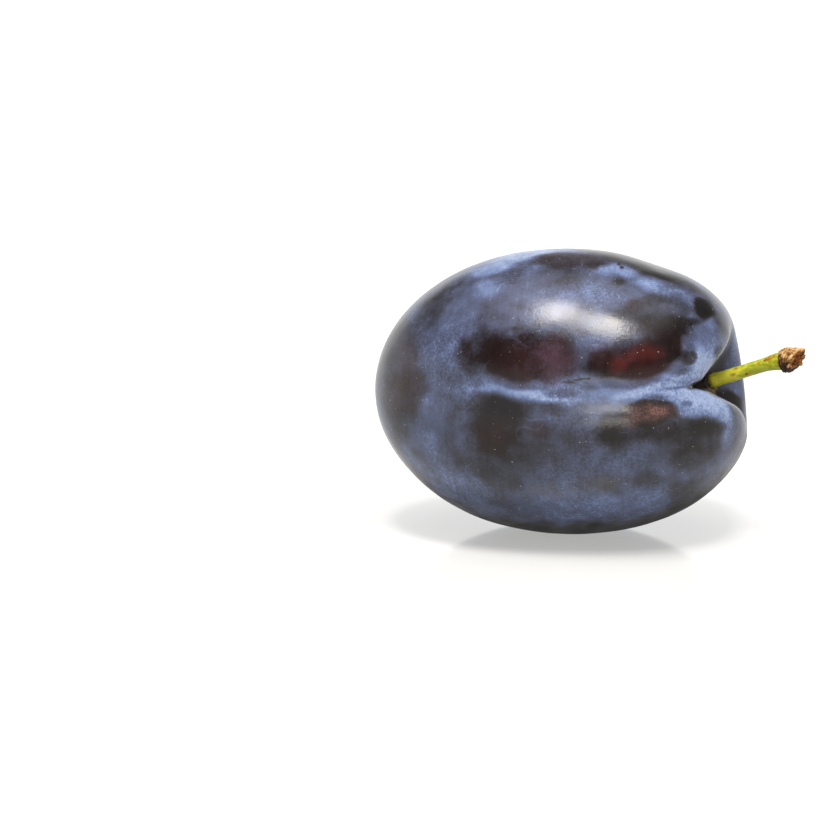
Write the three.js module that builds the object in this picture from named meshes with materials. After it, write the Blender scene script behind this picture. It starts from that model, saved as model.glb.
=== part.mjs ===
// A whole European plum lying on its side, with its stalk.
//
// Millimetres, +Z up. +X runs along the fruit towards the stalk, and the seam
// (the groove from stalk to tip) faces -Y. The origin is in the middle of the
// small flat spot that the fruit rests on.
//
// The fruit is one skin around its long axis. A point of the skin is named by
// two angles at the centre of the fruit: `fromTip` runs from 0 at the tip to pi
// at the stalk end, and `fromSeam` runs round the axis from the seam.

import {
  CatmullRomCurve3,
  Group,
  LatheGeometry,
  MathUtils,
  Mesh,
  MeshStandardMaterial,
  SphereGeometry,
  Vector2,
  Vector3,
} from 'three';
import { mergeVertices } from 'three/addons/utils/BufferGeometryUtils.js';

// ---- Driving dimensions: the fruit's body --------------------------------

const TIP_REACH = 27.5; // centre to tip
const STALK_REACH = 26.15; // centre to stalk end, before the cavity is sunk
const HALF_DEPTH = 20.6; // centre to seam
const HALF_HEIGHT = 19.96; // centre to flank
const SHOULDER_FULLNESS = 0.022; // share that the shoulders swell by
const SHOULDER_BIAS = 0.018; // share more at the stalk end than at the tip
const AXIS_HEIGHT = 19.67; // centre above the surface that the fruit rests on
const BALANCE_SHIFT = 0.6; // centre of the body ahead of the resting spot, along X

// The body isn't straight: it lifts, leans and turns towards the stalk.
const STALK_LIFT = 3.15; // rise of the axis, AT_REACH from the centre
const AT_REACH = 25;
const TOP_LEAN = 0.155; // how far the top of the stalk end sits back, per mm of height
const FRONT_LEAN = 0.02; // how far its seam side stands forward, per mm
const SEAM_ROLL = MathUtils.degToRad(12); // seam turned up from level
const SEAM_TWIST = MathUtils.degToRad(-1.5); // more roll, AT_REACH from the centre
const SADDLE_DEPTH = 0.045; // slight dip across the top, as a share of the radius
const SADDLE_X = 12.1; // where it is, along X from the centre
const SADDLE_LENGTH = 5;
const SADDLE_SPREAD = 0.6; // radians round the body

// ---- Driving dimensions: stalk cavity and seam ---------------------------

const CAVITY_DEPTH = 7.3;
const CAVITY_RADIUS = 5.2;
const CAVITY_ROUNDNESS = 1.8;
const CAVITY_TUCK = 0.12; // share that its mouth is drawn in, below the seam
const TUCK_AT = MathUtils.degToRad(-57); // round from the seam
const TUCK_SPREAD = MathUtils.degToRad(46);
const SEAM_DEPTH = 0.32; // along the flank
const NOTCH_DEPTH = 11; // where the seam runs into the cavity
const NOTCH_SPREAD = MathUtils.degToRad(25);
const SEAM_HALF_WIDTH = 4.2;
const NOTCH_HALF_WIDTH_ABOVE = 4.4;
const NOTCH_HALF_WIDTH_BELOW = 3.3;
const NOTCH_MOUTH = 3; // radius within which the notch fades into the cavity
const SEAM_ROUNDING = 0.25; // radius at the bottom of the groove
const SEAM_EDGE = 5; // sharpness of the groove's edges

// ---- Driving dimensions: the stalk ---------------------------------------

const STALK_RADIUS = 0.93;
const STALK_FOOT = [19.7, 0, 2.0]; // from the centre of the body
const STALK_MIDDLE = [25.6, -1.3, 4.36];
const STALK_NECK = [29.4, -2.3, 5.7];
const STALK_END = [31.85, -3.4, 6.25];
const FOOT_RADIUS = 1.06;
const NECK_RADIUS = 1.28; // where the shank meets the knob
const KNOB_RADIUS = 1.68;
const KNOB_LENGTH = 2.2; // in its middle, because the broken face leans
const SCAR_RADIUS = 0.8; // hollow where the stalk came off its twig
const SCAR_DEPTH = 0.8;
const LEAN_UP = 0.66; // how far the top of the broken face stands forward, as a slope
const LEAN_NEAR = 0.24; // how far its seam side sits back
const KNOB_RIDGE = 0.09; // share that the knob's ridges stand out by

// ---- Mesh density ---------------------------------------------------------

const SKIN_ROUND = 64;
const SKIN_ALONG = 46;
const SEAM_CROWDING = 0.45; // steps round the body are closer at the seam
const STALK_CROWDING = 0.5; // and steps along it are closer at the stalk
const STALK_ROUND = 20;
const SHANK_STEPS = 10;

// ---- Fruit ----------------------------------------------------------------

const bell = (distance, width) => Math.exp(-((distance / width) ** 2));
const rise = (share) => MathUtils.smoothstep(share, 0, 1);

/** Distance from centre to skin: an egg, swollen a little at the shoulders. */
function eggRadius(fromTip, fromSeam) {
  const along = -Math.cos(fromTip);
  const out = Math.sin(fromTip);
  const bluntTip = 1 / TIP_REACH ** 2;
  const bluntStalk = 1 / STALK_REACH ** 2;
  const lengthwise = MathUtils.lerp(bluntTip, bluntStalk, (1 + along) / 2);
  const crosswise = (Math.cos(fromSeam) / HALF_DEPTH) ** 2 + (Math.sin(fromSeam) / HALF_HEIGHT) ** 2;
  const egg = 1 / Math.sqrt(lengthwise * along ** 2 + crosswise * out ** 2);
  const shoulders = 4 * (out * along) ** 2;
  return egg * (1 + (SHOULDER_FULLNESS + SHOULDER_BIAS * along) * shoulders);
}

/** Depth of the seam: a shallow groove that ends as a V-shaped notch at the stalk. */
function seamDepth(fromTip, fromSeam, fromAxis) {
  const fromStalk = Math.PI - fromTip;
  const across = fromAxis * Math.sin(fromSeam);
  const notch = bell(fromStalk, NOTCH_SPREAD);
  const depth = SEAM_DEPTH * rise(fromTip * 2) + NOTCH_DEPTH * notch;
  const notchHalfWidth = across > 0 ? NOTCH_HALF_WIDTH_ABOVE : NOTCH_HALF_WIDTH_BELOW;
  const widening = bell(fromStalk, NOTCH_SPREAD * 1.2);
  const halfWidth = MathUtils.lerp(SEAM_HALF_WIDTH, notchHalfWidth, widening);
  const offset = (Math.hypot(across, SEAM_ROUNDING) - SEAM_ROUNDING) / halfWidth;
  const groove = Math.log1p(Math.exp(SEAM_EDGE * (1 - offset))) / SEAM_EDGE;
  const onSeamSide = rise(1.6 * Math.cos(fromSeam));
  const clearOfCavity = 1 - bell(fromAxis, NOTCH_MOUTH);
  return depth * groove * onSeamSide * clearOfCavity;
}

/** A point of the skin. */
function skinPoint(fromTip, fromSeam) {
  const egg = eggRadius(fromTip, fromSeam);
  const radius = egg - seamDepth(fromTip, fromSeam, egg * Math.sin(fromTip));
  let x = -radius * Math.cos(fromTip);
  let fromAxis = radius * Math.sin(fromTip);
  const mouth = CAVITY_RADIUS * (1 - CAVITY_TUCK * bell(fromSeam - TUCK_AT, TUCK_SPREAD));
  if (x > 0) x -= CAVITY_DEPTH * Math.exp(-((fromAxis / mouth) ** CAVITY_ROUNDNESS));

  const towardsStalk = rise(x / STALK_REACH);
  x += FRONT_LEAN * fromAxis * Math.cos(fromSeam) * towardsStalk;
  x -= TOP_LEAN * fromAxis * Math.sin(fromSeam) * towardsStalk;

  const top = Math.PI / 2 - SEAM_ROLL;
  const saddle = bell(x - SADDLE_X, SADDLE_LENGTH) * bell(fromSeam - top, SADDLE_SPREAD);
  fromAxis *= 1 - SADDLE_DEPTH * saddle;

  const roll = fromSeam + SEAM_ROLL + (SEAM_TWIST * x) / AT_REACH;
  const y = -fromAxis * Math.cos(roll);
  const lift = STALK_LIFT * (Math.max(x, 0) / AT_REACH) ** 2;
  const z = fromAxis * Math.sin(roll) + lift;
  // The fruit rests on a small flat spot, where its lowest skin is pressed level.
  return new Vector3(x + BALANCE_SHIFT, y, Math.max(z + AXIS_HEIGHT, 0));
}

/** The fruit: a sphere's net of points, each moved onto the skin. */
function fruitGeometry() {
  const net = new SphereGeometry(1, SKIN_ROUND, SKIN_ALONG);
  const position = net.attributes.position;
  const spot = new Vector3();
  for (let i = 0; i < position.count; i += 1) {
    spot.fromBufferAttribute(position, i);
    const alongNet = Math.acos(MathUtils.clamp(spot.y, -1, 1));
    const roundNet = Math.atan2(spot.x, spot.z);
    const fromTip = alongNet + STALK_CROWDING * Math.sin(alongNet);
    const fromSeam = roundNet - SEAM_CROWDING * Math.sin(roundNet);
    position.setXYZ(i, ...skinPoint(fromTip, fromSeam).toArray());
  }
  return weld(net);
}

// ---- Stalk ----------------------------------------------------------------

/** The stalk's centre line, from the floor of the cavity to the broken end. */
function stalkPath() {
  const toFrame = ([x, y, z]) => new Vector3(x + BALANCE_SHIFT, y, z + AXIS_HEIGHT);
  return new CatmullRomCurve3([STALK_FOOT, STALK_MIDDLE, STALK_NECK, STALK_END].map(toFrame));
}

/** Radius against length: a slim shank, flaring into a woody knob with a hollow end. */
function stalkProfile(length) {
  const knobStart = length - KNOB_LENGTH;
  const profile = [new Vector2(0, 0), new Vector2(FOOT_RADIUS * 0.8, 0)];
  for (let step = 0; step <= SHANK_STEPS; step += 1) {
    const share = step / SHANK_STEPS;
    const foot = (FOOT_RADIUS - STALK_RADIUS) * bell(share, 0.15);
    const flare = (NECK_RADIUS - STALK_RADIUS) * bell(1 - share, 0.17);
    const radius = STALK_RADIUS + foot + flare;
    profile.push(new Vector2(radius, MathUtils.lerp(0.25, knobStart, share)));
  }
  const knob = [
    [0.9, 0.04],
    [1, 0.2],
    [1, 0.42],
    [0.95, 0.66],
    [0.84, 0.88],
    [0.66, 1],
  ];
  for (const [width, share] of knob) {
    profile.push(new Vector2(KNOB_RADIUS * width, knobStart + KNOB_LENGTH * share));
  }
  profile.push(new Vector2(SCAR_RADIUS, length - SCAR_DEPTH));
  profile.push(new Vector2(0, length - SCAR_DEPTH));
  return profile;
}

/** The stalk: a turned profile, ridged at its knob and bent along its path. */
function stalkGeometry() {
  const path = stalkPath();
  const length = path.getLength();
  const knobStart = length - KNOB_LENGTH;
  const net = new LatheGeometry(stalkProfile(length), STALK_ROUND);
  const position = net.attributes.position;
  const spot = new Vector3();
  const up = new Vector3(0, 0, 1);
  for (let i = 0; i < position.count; i += 1) {
    spot.fromBufferAttribute(position, i);
    const onEnd = rise(((spot.y - knobStart) / KNOB_LENGTH - 0.15) / 0.85);
    const reach = spot.y + (LEAN_UP * spot.z - LEAN_NEAR * spot.x) * onEnd;
    const share = MathUtils.clamp(reach / length, 0, 1);
    const angle = Math.atan2(spot.z, spot.x);
    const onKnob = rise((spot.y - knobStart) / (0.3 * KNOB_LENGTH));
    const ridges = 1 + KNOB_RIDGE * onKnob * (0.6 * Math.cos(3 * angle + 0.7) + 0.4 * Math.cos(5 * angle));
    const forward = path.getTangentAt(share);
    const side = new Vector3().crossVectors(forward, up).normalize();
    const above = new Vector3().crossVectors(side, forward);
    const point = path.getPointAt(share).addScaledVector(forward, Math.max(reach - length, 0));
    point.addScaledVector(side, spot.x * ridges).addScaledVector(above, spot.z * ridges);
    position.setXYZ(i, ...point.toArray());
  }
  return weld(net);
}

// ---- Both -----------------------------------------------------------------

/** One closed skin: points that coincide are merged, and empty triangles dropped. */
function weld(geometry) {
  geometry.deleteAttribute('normal');
  geometry.deleteAttribute('uv');
  const welded = mergeVertices(geometry, 1e-4);
  const index = Array.from(welded.index.array);
  const kept = [];
  for (let i = 0; i < index.length; i += 3) {
    const [a, b, c] = index.slice(i, i + 3);
    if (a !== b && b !== c && c !== a) kept.push(a, b, c);
  }
  welded.setIndex(kept);
  welded.computeVertexNormals();
  return welded;
}

function namedMesh(name, geometry, color, roughness) {
  const material = new MeshStandardMaterial({ name, color, roughness, metalness: 0 });
  const mesh = new Mesh(geometry, material);
  mesh.name = name;
  return mesh;
}

const plum = new Group();
plum.name = 'plum';
plum.add(namedMesh('fruit', fruitGeometry(), '#4b5474', 0.4));
plum.add(namedMesh('stem', stalkGeometry(), '#9aa838', 0.55));

export default plum;
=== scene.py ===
# %% [markdown]
# # A plum lying on its side
#
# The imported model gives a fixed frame: metres, +Z up, +X along the fruit
# towards the stalk, and the seam facing -Y. The fruit rests on the origin.
# Everything here is dressed onto that frame. The skin and the stalk are made
# again as fine surfaces from the same formulas as the solids, and then get
# their bloom, their colour and their bark.

# %% The frame
import math

import bpy
import numpy as np
from mathutils import Matrix, Vector


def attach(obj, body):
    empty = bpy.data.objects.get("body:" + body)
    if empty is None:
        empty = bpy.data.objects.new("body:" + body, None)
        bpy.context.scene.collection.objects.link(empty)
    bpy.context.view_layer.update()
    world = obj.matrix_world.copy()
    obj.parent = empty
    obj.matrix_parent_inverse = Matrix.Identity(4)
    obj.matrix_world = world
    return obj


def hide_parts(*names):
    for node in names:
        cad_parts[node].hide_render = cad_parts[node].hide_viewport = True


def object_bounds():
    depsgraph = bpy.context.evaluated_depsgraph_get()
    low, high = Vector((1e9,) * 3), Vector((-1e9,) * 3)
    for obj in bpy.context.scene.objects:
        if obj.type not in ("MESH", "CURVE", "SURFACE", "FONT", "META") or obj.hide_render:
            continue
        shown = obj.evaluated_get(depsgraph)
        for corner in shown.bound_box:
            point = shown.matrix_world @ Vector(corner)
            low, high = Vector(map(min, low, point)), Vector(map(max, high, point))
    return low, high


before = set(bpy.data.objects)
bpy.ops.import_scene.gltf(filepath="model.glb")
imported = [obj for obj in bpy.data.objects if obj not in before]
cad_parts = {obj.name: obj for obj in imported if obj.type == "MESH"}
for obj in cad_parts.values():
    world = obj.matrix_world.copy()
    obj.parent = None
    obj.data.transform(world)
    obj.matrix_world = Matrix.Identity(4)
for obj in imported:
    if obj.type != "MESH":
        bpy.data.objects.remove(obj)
cad_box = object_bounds()
MM = 0.001
solids_size = [round(v / MM, 1) for v in cad_box[1] - cad_box[0]]
print("solids:", sorted(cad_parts), "in a box", solids_size, "mm")

# %% [markdown]
# ## The camera
#
# A long lens from well back keeps the fruit's outline free of perspective
# swelling. The camera looks at the side with the seam, a little from above and
# a little from the stalk's end. It aims past the tip, so the fruit sits right
# of the middle of the view.

# %% The camera
AXIS_HEIGHT = 19.67 * MM
BALANCE_SHIFT = 0.6 * MM
BODY_CENTRE = Vector((BALANCE_SHIFT, 0, AXIS_HEIGHT))

CAMERA_AZIMUTH = math.radians(9)
CAMERA_ELEVATION = math.radians(12)
CAMERA_DISTANCE = 0.6
VIEW_WIDTH = 0.11634  # what the view spans at the fruit
AIM_PAST_TIP = 0.02165
AIM_BELOW = 0.00336
SENSOR_WIDTH = 36


def add_camera():
    """A camera on a sphere round the body: its axes are right, up and back, worked out from two angles."""
    turn, rise = CAMERA_AZIMUTH, CAMERA_ELEVATION
    right = Vector((math.cos(turn), math.sin(turn), 0))
    back = Vector((math.sin(turn) * math.cos(rise), -math.cos(turn) * math.cos(rise), math.sin(rise)))
    up = back.cross(right)
    place = BODY_CENTRE - right * AIM_PAST_TIP - up * AIM_BELOW + back * CAMERA_DISTANCE
    lens = bpy.data.cameras.new("camera")
    lens.sensor_width = SENSOR_WIDTH
    lens.lens = SENSOR_WIDTH * CAMERA_DISTANCE / VIEW_WIDTH
    lens.clip_start = 0.01
    camera = bpy.data.objects.new("camera", lens)
    camera.matrix_world = Matrix.Translation(place) @ Matrix((right, up, back)).transposed().to_4x4()
    bpy.context.scene.collection.objects.link(camera)
    bpy.context.scene.camera = camera
    return camera


camera = add_camera()
print("lens", round(camera.data.lens), "mm at", [round(v, 3) for v in camera.location])

# %% [markdown]
# ## The fruit's shape
#
# A plum is one smooth skin round a long axis. Modelling it by pushing points
# about would lose the even curvature that its gloss depends on, so the skin is
# a formula of two angles at the centre of the fruit: one from the tip to the
# stalk, one round the axis from the seam. An egg gives the body. A groove with
# soft walls gives the seam, and it deepens into a V where it meets the stalk.
# A bell-shaped hollow gives the stalk cavity.

# %% The fruit's dimensions, in millimetres
TIP_REACH, STALK_REACH = 27.5, 26.15
HALF_DEPTH, HALF_HEIGHT = 20.6, 19.96
SHOULDER_FULLNESS, SHOULDER_BIAS = 0.022, 0.018
AT_REACH = 25
STALK_LIFT, TOP_LEAN, FRONT_LEAN = 3.15, 0.155, 0.02
SEAM_ROLL, SEAM_TWIST = math.radians(12), math.radians(-1.5)
SADDLE_DEPTH, SADDLE_X, SADDLE_LENGTH, SADDLE_SPREAD = 0.045, 12.1, 5, 0.6
CAVITY_DEPTH, CAVITY_RADIUS, CAVITY_ROUNDNESS = 7.3, 5.2, 1.8
CAVITY_TUCK, TUCK_AT, TUCK_SPREAD = 0.12, math.radians(-57), math.radians(46)
SEAM_DEPTH, SEAM_HALF_WIDTH = 0.32, 4.2
NOTCH_DEPTH, NOTCH_SPREAD, NOTCH_MOUTH = 11, math.radians(25), 3
NOTCH_HALF_WIDTH_ABOVE, NOTCH_HALF_WIDTH_BELOW = 4.4, 3.3
SEAM_ROUNDING, SEAM_EDGE = 0.25, 5
SEAM_FADE_AT_TIP, SEAM_HOLD, NOTCH_WIDENING = 0.5, 1.6, 1.2
CREASE_DEPTH, CREASE_HALF_WIDTH, CREASE_LOW = 2.2, 0.5, 0.35
CREASE_FROM_STALK, CREASE_SPREAD = math.radians(25), math.radians(10)


def bell(distance, width):
    """1 at distance 0, falling smoothly to nothing past the width."""
    return np.exp(-((distance / width) ** 2))


def ease(share):
    """0 below 0, 1 above 1, and a smooth rise between."""
    share = np.clip(share, 0, 1)
    return share * share * (3 - 2 * share)


def blend(low, high, share):
    """low where share is 0, high where it is 1."""
    return low + (high - low) * share


def egg_radius(from_tip, from_seam):
    """Centre to skin: an egg whose reach differs at its two ends, swollen a little at the shoulders."""
    along, out = -np.cos(from_tip), np.sin(from_tip)
    lengthwise = blend(1 / TIP_REACH**2, 1 / STALK_REACH**2, (1 + along) / 2)
    crosswise = (np.cos(from_seam) / HALF_DEPTH) ** 2 + (np.sin(from_seam) / HALF_HEIGHT) ** 2
    egg = 1 / np.sqrt(lengthwise * along**2 + crosswise * out**2)
    return egg * (1 + (SHOULDER_FULLNESS + SHOULDER_BIAS * along) * 4 * (out * along) ** 2)


def seam_depth(from_tip, from_seam, from_axis):
    """A V across the seam, shallow along the flank and deep at the stalk, with a crease in it there.

    The distance across, rounded at 0, gives the V's slope. The logarithm of one
    plus an exponential rounds its two edges. It fades out round the side, at
    the tip and in the mouth of the cavity.
    """
    from_stalk = np.pi - from_tip
    across = from_axis * np.sin(from_seam)
    depth = SEAM_DEPTH * ease(from_tip / SEAM_FADE_AT_TIP) + NOTCH_DEPTH * bell(from_stalk, NOTCH_SPREAD)
    at_notch = np.where(across > 0, NOTCH_HALF_WIDTH_ABOVE, NOTCH_HALF_WIDTH_BELOW)
    half_width = blend(SEAM_HALF_WIDTH, at_notch, bell(from_stalk, NOTCH_SPREAD * NOTCH_WIDENING))
    offset = (np.hypot(across, SEAM_ROUNDING) - SEAM_ROUNDING) / half_width
    groove = np.log1p(np.exp(SEAM_EDGE * (1 - offset))) / SEAM_EDGE
    crease = CREASE_DEPTH * bell(from_stalk - CREASE_FROM_STALK, CREASE_SPREAD)
    crease = crease * bell(across + CREASE_LOW, CREASE_HALF_WIDTH)
    own_side = ease(SEAM_HOLD * np.cos(from_seam))
    return (depth * groove + crease) * own_side * (1 - bell(from_axis, NOTCH_MOUTH))


def fruit_skin(from_tip, from_seam):
    """Points of the skin in mm from the body's centre, and how deep in the cavity each lies (0 to 1).

    The egg's radius less the seam's depth gives a place along the axis and a
    distance from it. A bell round the axis sinks the stalk cavity. Towards the
    stalk the skin leans, a saddle lowers the upper shoulder, the whole is
    rolled round the axis, and it bends upwards with the square of x.
    """
    egg = egg_radius(from_tip, from_seam)
    radius = egg - seam_depth(from_tip, from_seam, egg * np.sin(from_tip))
    x, from_axis = -radius * np.cos(from_tip), radius * np.sin(from_tip)
    cavity_radius = CAVITY_RADIUS * (1 - CAVITY_TUCK * bell(from_seam - TUCK_AT, TUCK_SPREAD))
    hollow = np.exp(-((np.abs(from_axis) / cavity_radius) ** CAVITY_ROUNDNESS)) * (x > 0)
    x = x - CAVITY_DEPTH * hollow
    towards_stalk = ease(x / STALK_REACH)
    x = x + (FRONT_LEAN * np.cos(from_seam) - TOP_LEAN * np.sin(from_seam)) * from_axis * towards_stalk
    top = np.pi / 2 - SEAM_ROLL
    saddle = bell(x - SADDLE_X, SADDLE_LENGTH) * bell(from_seam - top, SADDLE_SPREAD)
    from_axis = from_axis * (1 - SADDLE_DEPTH * saddle)
    roll = from_seam + SEAM_ROLL + SEAM_TWIST * x / AT_REACH
    lift = STALK_LIFT * (np.maximum(x, 0) / AT_REACH) ** 2
    points = np.stack([x, -from_axis * np.cos(roll), from_axis * np.sin(roll) + lift], axis=-1)
    return points, hollow


# %% [markdown]
# ## Surfaces from grids
#
# Both pieces are grids of points that close on themselves round an axis, with
# one point at each end. One helper turns such a grid into a mesh. It writes
# whole arrays into Blender, which is quick even for a fine skin, and it can
# store a value at each point, such as how thick the bloom is, for a material
# to read.


# %% A closed surface from a grid of points
def closed_surface(name, points, values):
    """A mesh from a grid in metres.

    Each row of the grid is a ring, and the first and last rows have shrunk to a
    point. The rings are joined by quads and the two end points by fans. Faces
    point the way that (from row to row) x (from column to column) points.
    """
    rows, columns = points.shape[:2]
    rings = points[1:-1].reshape(-1, 3)
    vertices = np.vstack([rings, points[:1, 0], points[-1:, 0]])
    start, end = len(rings), len(rings) + 1
    column = np.arange(columns)
    after = (column + 1) % columns
    ring = np.arange(rows - 3)[:, None] * columns
    quads = np.stack([ring + column, ring + columns + column, ring + columns + after, ring + after], axis=-1)
    last = (rows - 3) * columns
    caps = [np.stack([np.full(columns, start), column, after], axis=-1)]
    caps.append(np.stack([np.full(columns, end), last + after, last + column], axis=-1))
    mesh = bpy.data.meshes.new(name)
    mesh.from_pydata(vertices.tolist(), [], quads.reshape(-1, 4).tolist() + np.vstack(caps).tolist())
    for value_name, grid in values.items():
        flat = np.concatenate([grid[1:-1].ravel(), grid[0, :1], grid[-1, :1]])
        mesh.attributes.new(value_name, "FLOAT", "POINT").data.foreach_set("value", flat.astype(np.float32))
    mesh.shade_smooth()
    mesh.update()
    piece = bpy.data.objects.new(name, mesh)
    bpy.context.scene.collection.objects.link(piece)
    return piece


# %% Smooth random variation
def cloud(points, size, seed):
    """Random values from -1 to 1 that change smoothly over the distance `size`.

    Random numbers sit at the corners of a cubic lattice, and each point takes
    an eased mean of the eight corners round it.
    """
    table = np.random.default_rng(seed).uniform(-1, 1, 4096)
    place = points / size + 100
    cell = np.floor(place).astype(np.int64)
    within = ease(place - cell)
    total = 0
    for corner in np.ndindex(2, 2, 2):
        node = cell + np.array(corner)
        pick = (node[..., 0] * 73856093 ^ node[..., 1] * 19349663 ^ node[..., 2] * 83492791) % 4096
        weight = np.prod(np.where(corner, within, 1 - within), axis=-1)
        total = total + weight * table[pick]
    return total


# %% [markdown]
# ## Bloom, blush and scars
#
# The skin of a ripe plum is nearly black. What looks blue is bloom: a thin
# coat of wax that scatters light. Hands and leaves rub it off in patches, and
# where it is gone the skin shows dark and glossy, here and there with red
# flesh glowing through. Painting that as an image would fix it to one side.
# Instead each patch is an ellipse laid on the skin, in degrees along from the
# tip and round from the seam, with an uneven edge. The patches are laid one
# over another, as the rubbing happened. A few are painted shade instead: in the
# crease by the stalk, in the stalk cavity and low on the left; and one is a
# painted reflection along the lower right rim.

# %% The grid of the fine skin
SKIN_ROWS, SKIN_COLUMNS = 262, 372
SEAM_CROWDING, STALK_CROWDING = 0.45, 0.5

# More rows go to the stalk's end and more columns to the seam, where the shape turns fastest.
row_angle = np.linspace(0, np.pi, SKIN_ROWS)[:, None]
column_angle = (np.arange(SKIN_COLUMNS) / SKIN_COLUMNS * 2 * np.pi - np.pi)[None, :]
from_tip = row_angle + STALK_CROWDING * np.sin(row_angle)
from_seam = column_angle - SEAM_CROWDING * np.sin(column_angle)
from_tip, from_seam = np.broadcast_arrays(from_tip, from_seam)
skin, hollow = fruit_skin(from_tip, from_seam)
along_degrees, round_degrees = np.degrees(from_tip), np.degrees(from_seam)
ragged_edge = 0.22 * cloud(skin, 2.6, 1) + 0.12 * cloud(skin, 1.1, 2) + 0.04 * cloud(skin, 0.5, 3)
wander_along = 2.6 * cloud(skin, 4.5, 4) + 1.3 * cloud(skin, 1.8, 5)
wander_round = 2.6 * cloud(skin, 4.5, 6) + 1.3 * cloud(skin, 1.8, 7)
cavity_floor = float(skin[-1, 0, 0])
print("skin grid:", SKIN_ROWS, "x", SKIN_COLUMNS, "points, cavity floor", round(cavity_floor, 1), "mm along")


# %% One patch
def degrees_from(centre, degrees):
    """How far an angle lies from a centre, from -180 to 180."""
    return (degrees - centre + 180) % 360 - 180


def patch(along, round_, half_along, half_round, lean, softness):
    """1 inside an ellipse on the skin and 0 outside, with an uneven edge as wide as the softness.

    The ellipse leans by `lean` degrees round for each degree along, and it is
    bent by a slow wandering of its place, less for a small one.
    """
    bend = min(1, math.sqrt(half_along * half_round) / 7)
    past = along_degrees + bend * wander_along - along
    aside = degrees_from(round_, round_degrees + bend * wander_round - lean * past)
    reach = np.hypot(past / half_along, aside / half_round)
    return ease((1 + softness - reach - ragged_edge) / (2 * softness))


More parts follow.
